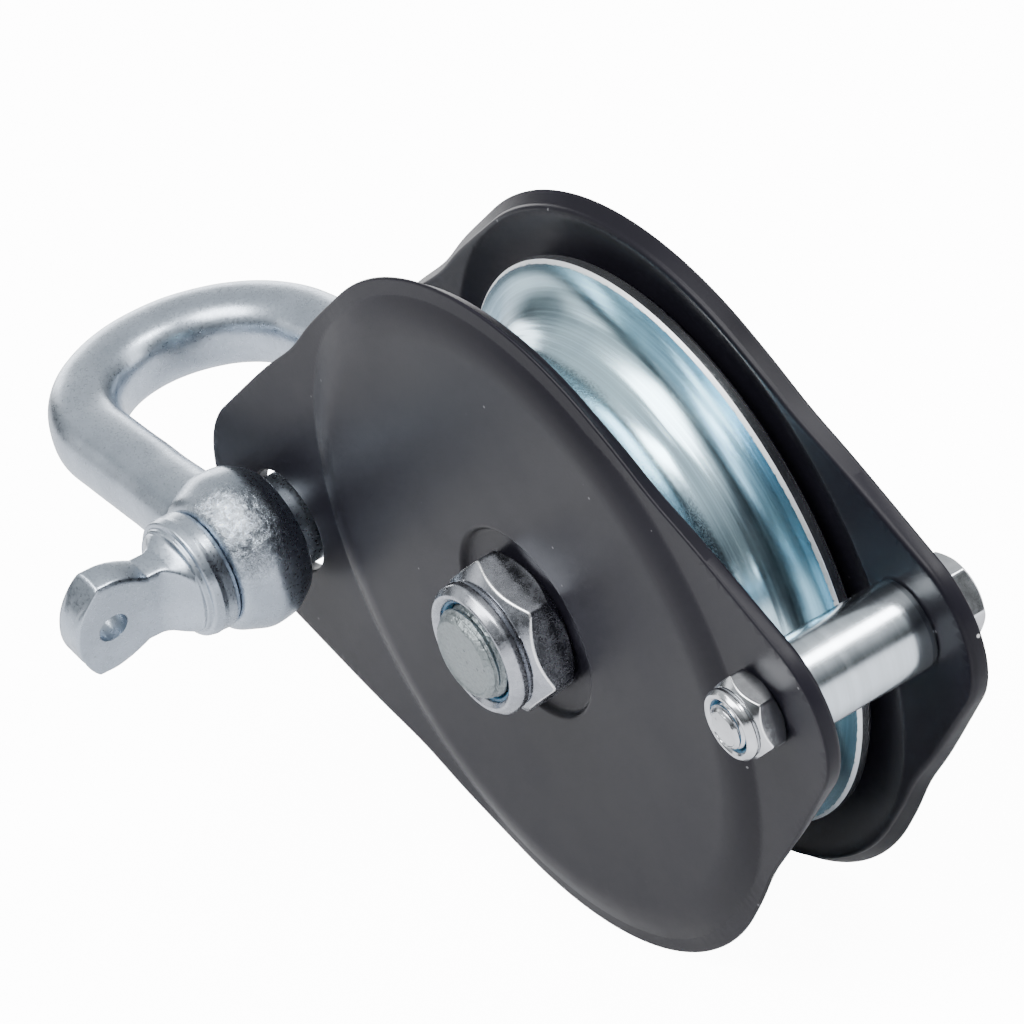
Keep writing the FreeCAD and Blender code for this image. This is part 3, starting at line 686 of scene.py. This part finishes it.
def build_nut(name, size):
    """Prevailing-torque nut, seat on a near-side face, collar rolled over the insert."""
    segments = 360
    angles = ring_angles(segments)
    flat, low, top, mouth = size.flat, size.hex_height, size.nut_height, size.mouth
    rings = [steady(flat * 0.70, 0.02, segments), steady(flat * 0.90, 0.0, segments)]
    rings += hex_band(angles, flat, 0.0, low, NUT_BEVEL_SHARE, NUT_BEVEL_SHARE, NUT_BEVEL_SLOPE)
    # The two rings along the top bevel edge are marked for a painted highlight.
    edge_rings = (len(rings) - 4, len(rings) - 3)
    rise = top - low
    groove, collar = flat * 0.915, flat * 0.955
    profile = soft_path([
        (groove, low + rise * 0.03, rise * 0.03), (groove, low + rise * 0.12, rise * 0.06),
        (collar, low + rise * 0.34, rise * 0.2), (collar, top - rise * 0.38, rise * 0.34),
        (flat * 0.86, top - rise * 0.02, rise * 0.26), (mouth + rise * 0.2, top - rise * 0.04, rise * 0.16),
        (mouth, top - rise * 0.2, rise * 0.12), (mouth + 0.1, top - rise * 0.45),
    ], 7)
    lobes = 0.012 * flat * np.cos(6 * angles)
    for radius, level in profile:
        share = max(0.0, 1.0 - abs(radius - collar) / (flat * 0.08))
        rings.append((radius - lobes * share, np.full(segments, level)))
    rings = [(r, -size.seat - y) for r, y in rings]
    return flat_friendly(skin(name, rings, (size.x, 0.0), edge_highlight=edge_rings))


def build_insert(name, size):
    """Nylon ring in the nut's collar."""
    bore, outer = size.shank + 0.1, size.insert_outer
    foot, top = -size.seat - size.insert_foot, -size.seat - size.insert_top
    corners = [(bore, foot), (outer, foot), (outer, top, 0.3), (bore + 0.4, top, 0.4), (bore, top + 0.6)]
    return flat_friendly(spin(name, corners, (size.x, 0.0), 120))


def thread_rings(angles, radius, depth, pitch, start, end):
    """Rings of a helical thread between two levels, ten to a turn."""
    rings = []
    count = int(abs(end - start) / pitch * 10)
    for k in range(count + 1):
        level = start + (end - start) * k / count
        phase = np.mod(level / pitch - angles / TURN, 1.0)
        tooth = np.clip(np.abs(phase - 0.5) * 2.6 - 0.3, 0.0, 1.0)
        rings.append((radius - depth * tooth, np.full_like(angles, level)))
    return rings


def build_bolt(name, size):
    """Head beyond the far cheek, threaded end standing out of the near nut."""
    segments = 240
    angles = ring_angles(segments)
    shank, seat, chamfer = size.shank, size.seat, size.chamfer
    head_top = seat + size.head
    tip = -(seat + size.nut_height + size.stand)
    rings = [steady(0, head_top, segments), steady(size.flat * 0.6, head_top, segments)]
    band = hex_band(angles, size.flat, size.head_turn, size.head,
                    HEAD_SEAT_BEVEL_SHARE, HEAD_TOP_BEVEL_SHARE, HEAD_BEVEL_SLOPE)
    rings += [(r, seat + y) for r, y in reversed(band)]
    rings += [steady(shank + 0.3, seat, segments), steady(shank - 0.02, seat - 0.3, segments)]
    plain_end = tip + 1.75 * shank
    rings += [steady(shank - 0.02, plain_end, segments)]
    thread_end = tip + chamfer * 1.05
    rings += thread_rings(angles, shank - 0.03, size.thread, size.pitch, plain_end - 0.3, thread_end)
    end = soft_path([
        (shank - chamfer * 0.3, tip + chamfer * 0.9, 0.2), (shank - chamfer * 0.9, tip + 0.25, 0.3),
        (shank - chamfer * 1.15, tip, 0.15), (shank - chamfer * 1.4, tip + 0.25, 0.15), (0.0, tip + 0.18),
    ], 5)
    ragged = np.array([noise.noise(Vector((math.cos(a) * 4.0, math.sin(a) * 4.0, size.x))) for a in angles])
    for radius, level in end:
        rim = max(0.0, 1.0 - abs(radius - shank + chamfer) / chamfer)
        rings.append((radius + 0.16 * rim * ragged, level + 0.12 * rim * ragged))
    return flat_friendly(skin(name, rings, (size.x, 0.0)))


def build_spacer():
    """Turned tube on the tail bolt, a shallow step at each end."""
    end, outer, bore = EAR_INNER - 0.02, 7.8, 4.2
    corners = [
        (bore, -end), (outer - 0.9, -end), (outer - 0.1, -end, 0.55), (outer, 1.2 - end, 0.5),
        (outer, 0.0), (outer, end - 1.2, 0.5), (outer - 0.1, end, 0.55), (outer - 0.9, end), (bore, end),
    ]
    return flat_friendly(spin("tail_spacer_tube", corners, (TAIL_X, 0.0), 128, 6))


# ---------------------------------------------------------------- shackle

def shackle_point(along, across, up):
    """From the shackle's own frame (along the bow, along the pin, square to both) to the object's frame."""
    c, s = math.cos(REST_ANGLE), math.sin(REST_ANGLE)
    return PIN_X - along * c + up * s, PIN_Y + across, along * s + up * c


def bow_line():
    """Points of the bow's centre line, from one ear to the other."""
    polar = math.atan2(LEG, -BOW_CENTRE) - math.acos(BOW_RADIUS / math.hypot(BOW_CENTRE, LEG))
    touch = np.array([BOW_CENTRE + BOW_RADIUS * math.cos(polar), BOW_RADIUS * math.sin(polar)])
    root = np.array([LEG_ROOT, LEG + (touch[1] - LEG) * LEG_ROOT / touch[0]])
    leg = [root + (touch - root) * t for t in np.linspace(0, 1, 14)[:-1]]
    arc = [(BOW_CENTRE + BOW_RADIUS * math.cos(a), BOW_RADIUS * math.sin(a))
           for a in np.linspace(polar, -polar, 60)]
    line = [tuple(p) for p in leg] + arc + [(p[0], -p[1]) for p in reversed(leg)]
    return np.array(line)


def build_bow_tube():
    """Slightly squared bar along the bow's line, swelling towards the ears."""
    line = bow_line()
    tangent = np.gradient(line, axis=0)
    tangent /= np.linalg.norm(tangent, axis=1)[:, None]
    count = 48
    angles = ring_angles(count)
    points, faces = [], []
    for place, t in zip(line, tangent):
        normal = np.array([-t[1], t[0]])
        near_ear = max(0.0, 1.0 - (place[0] - LEG_ROOT) / LEG_SWELL_LENGTH)
        wide = BAR * (1.0 + LEG_SWELL * near_ear)
        for a in angles:
            c, s = math.cos(a), math.sin(a)
            squash = (abs(c) ** BAR_SQUARENESS + abs(s) ** BAR_SQUARENESS) ** (-1 / BAR_SQUARENESS)
            side, up = wide * squash * c, wide * squash * s
            points.append(shackle_point(place[0] + normal[0] * side, place[1] + normal[1] * side, up))
    for i in range(len(line) - 1):
        for j in range(count):
            k = (j + 1) % count
            faces.append((i * count + j, i * count + k, (i + 1) * count + k, (i + 1) * count + j))
    faces.append(tuple(range(count)))
    faces.append(tuple(range((len(line) - 1) * count, len(line) * count)))
    return clean(add_object("bow_tube", points, faces))


def build_ear(side):
    """Bulbous eye: widest near the middle, a flat landing for the collar."""
    middle = side * LEG + PIN_Y
    out = side * EAR_HALF
    corners = [
        (EAR_BORE, middle - out), (EAR_RADIUS - 2.6, middle - out, 1.0),
        (EAR_RADIUS - 0.2, middle - out * 0.45, 4.0), (EAR_RADIUS + 0.1, middle + out * 0.15, 4.0),
        (EAR_RADIUS - 2.2, middle + out * 0.95, 2.4), (EAR_BORE + 1.2, middle + out, 0.5),
        (EAR_BORE, middle + out),
    ]
    return spin("ear_blank", corners, (PIN_X, 0.0), 96, 8)


def join(objects, name):
    """One mesh from several, which are removed."""
    points, faces = [], []
    for obj in objects:
        base = len(points)
        points.extend(tuple(v.co) for v in obj.data.vertices)
        faces.extend([base + i for i in p.vertices] for p in obj.data.polygons)
        bpy.data.objects.remove(obj)
    mesh = bpy.data.meshes.new(name)
    mesh.from_pydata(points, [], faces)
    made = bpy.data.objects.new(name, mesh)
    bpy.context.scene.collection.objects.link(made)
    return made


def displace(obj, amount):
    """Moves every point along its normal by amount(point in mm), in mm."""
    normals = [v.normal.copy() for v in obj.data.vertices]
    for vertex, normal in zip(obj.data.vertices, normals):
        vertex.co += normal * (amount(vertex.co / MM) * MM)
    obj.data.update()


def forged_surface(p):
    """Gentle hammer-work all over, and a crumpled patch on the front of the near ear."""
    gentle = 0.10 * noise.noise(p * 0.12)
    nearness = max(0.0, 1.0 - (p - Vector(STRUCK)).length / STRUCK_REACH)
    crumple = noise.multi_fractal(p * 0.7, 0.8, 2.1, 3) - 1.0
    return gentle + 0.12 * min(1.0, 2.0 * nearness) * max(-1.0, min(1.0, crumple))


def build_bow():
    """Bow and ears melted into one forging."""
    blank = join([build_bow_tube(), build_ear(-1.0), build_ear(1.0)], "shackle_bow_body")
    remesh = blank.modifiers.new("remesh", "REMESH")
    remesh.mode = "VOXEL"
    remesh.voxel_size = 0.55 * MM
    soften = blank.modifiers.new("soften", "SMOOTH")
    soften.factor = 0.6
    soften.iterations = 8
    apply_modifiers(blank)
    displace(blank, forged_surface)
    return blank


def lean(y):
    """Rise of the collar and tab, which sit slightly off the shank's axis."""
    return LEAN * max(0.0, LEAN_FROM - y)


def tab_rings(angles, start):
    """Rings of the neck that flares into a flat tab with a rounded end."""
    lateral = np.abs(np.sin(angles - TAB_TURN))
    facing = np.abs(np.cos(angles - TAB_TURN))
    rings = []
    steps = 60
    for k in range(1, steps + 1):
        share = k / steps
        along = share * TAB_LENGTH
        neck = NECK_RADIUS - 1.1 * min(1.0, along / 3.0) ** 0.7
        flare = max(0.0, min(1.0, (along - 7.5) / 9.5))
        wide = neck + 1.95 * flare * (2.0 - flare) + 0.9 * flare
        thick = TAB_HALF_THICK + 6.0 * max(0.0, 1.0 - along / 5.0) ** 2.0
        inverse = (facing / thick) ** TAB_CORNER + (lateral / wide) ** TAB_CORNER
        inverse += (1.0 / (wide * 1.02)) ** TAB_CORNER
        radius = inverse ** (-1.0 / TAB_CORNER)
        rings.append((radius, start - share * (TAB_LENGTH - end_curve(radius, angles))))
    last_radius = rings[-1][0]
    for shrink, drop in ((0.985, 0.12), (0.95, 0.2), (0.6, 0.2), (0.2, 0.2)):
        shrunk = last_radius * shrink
        rings.append((shrunk, start - TAB_LENGTH - drop + end_curve(shrunk, angles)))
    rings.append(steady(0.0, start - TAB_LENGTH - 0.2, len(angles)))
    return rings


def end_curve(radius, angles):
    """How far the tab's rounded end falls short of its tip."""
    across = radius * np.sin(angles - TAB_TURN)
    return TAB_SAGITTA * np.abs(across / TAB_HALF_WIDTH) ** 2.2


def eye_cutter():
    """Cylinder through the tab, square to its faces."""
    cutter = spin("eye_cutter", [(0, -12.0), (EYE_RADIUS, -12.0), (EYE_RADIUS, 12.0), (0, 12.0)], segments=64)
    eye_y = COLLAR_SEAT - EYE_DROP
    eye = Vector((PIN_X, eye_y, lean(eye_y))) * MM
    tab_normal = Vector((math.cos(TAB_TURN), 0.0, math.sin(TAB_TURN)))
    aim = tab_normal.to_track_quat("Y", "Z").to_matrix().to_4x4()
    cutter.data.transform(Matrix.Translation(eye) @ aim)
    return cutter


def build_pin():
    """Shank, collar, step and flared neck milled to a flat tab with an eye."""
    segments = 288
    seat = COLLAR_SEAT
    tip = PIN_Y + LEG + EAR_HALF + 1.0
    shank = 7.98
    turned = soft_path([
        (0.0, tip), (shank - 1.08, tip, 0.2), (shank, tip - 1.1, 0.2), (shank, seat), (9.2, seat),
        (10.0, seat - 0.05, 0.3), (10.45, seat - 0.9, 0.8), (10.4, seat - 2.5, 0.6), (10.5, seat - 3.4, 0.6),
        (10.2, seat - 4.9, 1.0), (9.35, seat - 5.0, 0.25), (9.2, seat - 5.6, 0.3),
        (NECK_RADIUS, seat - NECK_DROP, 0.2),
    ], 6)
    rings = [steady(r, y, segments) for r, y in turned]
    rings += tab_rings(ring_angles(segments), seat - NECK_DROP)
    pin = skin("shackle_pin_body", rings, (PIN_X, 0.0))
    for vertex in pin.data.vertices:
        vertex.co.z += lean(vertex.co.y / MM) * MM
    cutter = eye_cutter()
    cut = pin.modifiers.new("eye", "BOOLEAN")
    cut.object = cutter
    cut.solver = "EXACT"
    apply_modifiers(pin)
    bpy.data.objects.remove(cutter)
    return flat_friendly(pin)


# ---------------------------------------------------------------- the object

def dress_hidden(node, material):
    """A piece inside the sheave keeps its own mesh and gets a material."""
    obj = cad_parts[node]
    obj.data.materials.clear()
    obj.data.materials.append(material)


def build_object():
    """Every visual piece: its shape, its material, the body it rides on and the node it replaces."""
    paint = cheek_paint()
    sheave_metal = sheave_zinc()
    spacer_metal = turned_metal("spacer_zinc", (0.70, 0.77, 0.83), 0.17, (TAIL_X, 0.0), ring_depth=0.002)
    fastener = rough_zinc("fastener_zinc", (0.44, 0.46, 0.505), 0.27, lump=0.6, depth=0.0015, pits=0.1)
    bright = rough_zinc("fastener_bright", (0.72, 0.74, 0.77), 0.20, lump=0.3, depth=0.001, pits=0.08)
    stud = rough_zinc("stud_zinc", (0.31, 0.345, 0.355), 0.42, lump=1.1, depth=0.12, pits=0.6)
    forged = shackle_zinc()
    steel = turned_metal("bearing_steel", (0.5, 0.5, 0.5), 0.3)
    bronze = turned_metal("bush_bronze", (0.72, 0.48, 0.24), 0.35)
    blue = nylon()

    near_cheek = build_cheek("near_cheek_plate", SIDE_NEAR, 3.7)
    finish_piece(near_cheek, paint, "block", "near_cheek")
    far_cheek = build_cheek("far_cheek_plate", SIDE_FAR, 8.1)
    finish_piece(far_cheek, paint, "block", "far_cheek")
    finish_piece(build_sheave(), sheave_metal, "wheel", "sheave")
    finish_piece(build_spacer(), spacer_metal, "block", "tail_spacer")
    finish_piece(build_nut("axle_nut_body", AXLE_SET), fastener, "block", "axle_nut")
    finish_piece(build_nut("tail_nut_body", TAIL_SET), bright, "block", "tail_nut")
    finish_piece(build_insert("axle_nut_ring", AXLE_SET), blue, "block", "axle_nut_insert")
    finish_piece(build_insert("tail_nut_ring", TAIL_SET), blue, "block", "tail_nut_insert")
    finish_piece(build_bolt("axle_bolt_body", AXLE_SET), stud, "block", "axle_bolt")
    finish_piece(build_bolt("tail_bolt_body", TAIL_SET), bright, "block", "tail_bolt")
    finish_piece(build_bow(), forged, "shackle", "shackle_bow")
    finish_piece(build_pin(), forged, "pin", "shackle_pin")
    dress_hidden("sheave_bush", bronze)
    for node in ("axle_sleeve", "near_thrust_washer", "far_thrust_washer"):
        dress_hidden(node, steel)


# ---------------------------------------------------------------- studio

FLOOR_HALF = 6.0
FLOOR_GLOW = 12.0
FLOOR_SEEN, FLOOR_UNSEEN = (0.85, 0.85, 0.85), (0.76, 0.76, 0.78)
# Greys of the sky from straight down (0) to straight up (1).
SKY = ((0.0, 0.30), (0.49, 0.12), (0.56, 0.07), (0.66, 0.30), (0.80, 0.85), (1.0, 0.9))
SKY_TINT = (0.95, 0.98, 1.0)
SKY_STRENGTH = 0.9
LIGHT_DISTANCE = 1.2
# Area lights: name, direction, size in metres, power in watts.
LIGHTS = (
    ("key", (0.2, -0.5, 1.0), (0.9, 0.7), 22.0),
    ("rim", (0.6, 1.0, 0.5), (0.5, 1.0), 5.0),
    ("band", (0.40, 0.42, 0.82), (0.5, 0.3), 9.0),
    ("wall", (-0.90, 0.40, 0.17), (0.9, 0.5), 7.0),
    ("side", (-1.0, -0.8, 0.25), (0.4, 0.9), 1.5),
)
CAMERA_AZIMUTH, CAMERA_ELEVATION, CAMERA_ROLL = (math.radians(a) for a in (63.93, 23.78, -18.51))
CAMERA_DISTANCE = 2331.6
CAMERA_SHIFT_RIGHT, CAMERA_SHIFT_UP = 16.16, -9.45
CAMERA_LENS, CAMERA_SENSOR = 519.6, 36.0


def build_floor():
    """Pale paper under the part: it glows only for the camera, so that the metal sees plain paper."""
    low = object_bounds()[0].z
    size = FLOOR_HALF
    corners = [(-size, -size, low), (size, -size, low), (size, size, low), (-size, size, low)]
    mesh = bpy.data.meshes.new("floor")
    mesh.from_pydata(corners, [], [(0, 1, 2, 3)])
    floor = bpy.data.objects.new("floor", mesh)
    bpy.context.scene.collection.objects.link(floor)
    m = Maker("floor_paper")
    seen = m.node("ShaderNodeLightPath").outputs["Is Camera Ray"]
    paper = m.mix(seen, FLOOR_UNSEEN, FLOOR_SEEN)
    glow = m.math("MULTIPLY", seen, FLOOR_GLOW)
    m.surface(colour=paper, roughness=0.9, specular=0.1, glow=(1.0, 1.0, 1.0), glow_strength=glow)
    mesh.materials.append(m.material)


def build_light(name, direction, size, power):
    """White area light that faces the part."""
    lamp = bpy.data.lights.new(name, "AREA")
    lamp.shape = "RECTANGLE"
    lamp.size, lamp.size_y = size
    lamp.energy = power
    obj = bpy.data.objects.new(name, lamp)
    away = Vector(direction).normalized()
    obj.location = away * LIGHT_DISTANCE
    obj.rotation_mode = "QUATERNION"
    obj.rotation_quaternion = away.to_track_quat("Z", "Y")
    bpy.context.scene.collection.objects.link(obj)


def build_world():
    """Soft grey sky that depends only on height."""
    world = bpy.data.worlds.new("studio")
    world.use_nodes = True
    tree = world.node_tree
    tree.nodes.clear()
    out = tree.nodes.new("ShaderNodeOutputWorld")
    background = tree.nodes.new("ShaderNodeBackground")
    ramp = tree.nodes.new("ShaderNodeValToRGB")
    split = tree.nodes.new("ShaderNodeSeparateXYZ")
    place = tree.nodes.new("ShaderNodeTexCoord")
    scale = tree.nodes.new("ShaderNodeMapRange")
    scale.inputs["From Min"].default_value = -1.0
    tree.links.new(place.outputs["Generated"], split.inputs[0])
    tree.links.new(split.outputs["Z"], scale.inputs["Value"])
    tree.links.new(scale.outputs["Result"], ramp.inputs["Fac"])
    tree.links.new(ramp.outputs["Color"], background.inputs["Color"])
    tree.links.new(background.outputs[0], out.inputs["Surface"])
    stops = ramp.color_ramp.elements
    while len(stops) < len(SKY):
        stops.new(0.5)
    for stop, (height, grey) in zip(stops, SKY):
        stop.position = height
        stop.color = (*(grey * tint for tint in SKY_TINT), 1.0)
    background.inputs["Strength"].default_value = SKY_STRENGTH
    bpy.context.scene.world = world


def build_camera():
    """Long lens, three-quarter view from the tail and nut side, rolled."""
    flat = math.cos(CAMERA_ELEVATION)
    sideways, forwards = math.sin(CAMERA_AZIMUTH) * flat, math.cos(CAMERA_AZIMUTH) * flat
    back = Vector((sideways, -forwards, math.sin(CAMERA_ELEVATION)))
    level = Vector((math.cos(CAMERA_AZIMUTH), math.sin(CAMERA_AZIMUTH), 0.0))
    rise = back.cross(level)
    right = level * math.cos(CAMERA_ROLL) + rise * math.sin(CAMERA_ROLL)
    up = rise * math.cos(CAMERA_ROLL) - level * math.sin(CAMERA_ROLL)
    place = (back * CAMERA_DISTANCE - right * CAMERA_SHIFT_RIGHT - up * CAMERA_SHIFT_UP) * MM
    lens = bpy.data.cameras.new("camera")
    lens.sensor_width = CAMERA_SENSOR
    lens.lens = CAMERA_LENS
    lens.clip_end = 100.0
    camera = bpy.data.objects.new("camera", lens)
    turn = Matrix((right, up, back)).transposed().to_4x4()
    camera.matrix_world = Matrix.Translation(place) @ turn
    bpy.context.scene.collection.objects.link(camera)
    bpy.context.scene.camera = camera


build_object()
build_floor()
build_world()
for light in LIGHTS:
    build_light(*light)
build_camera()
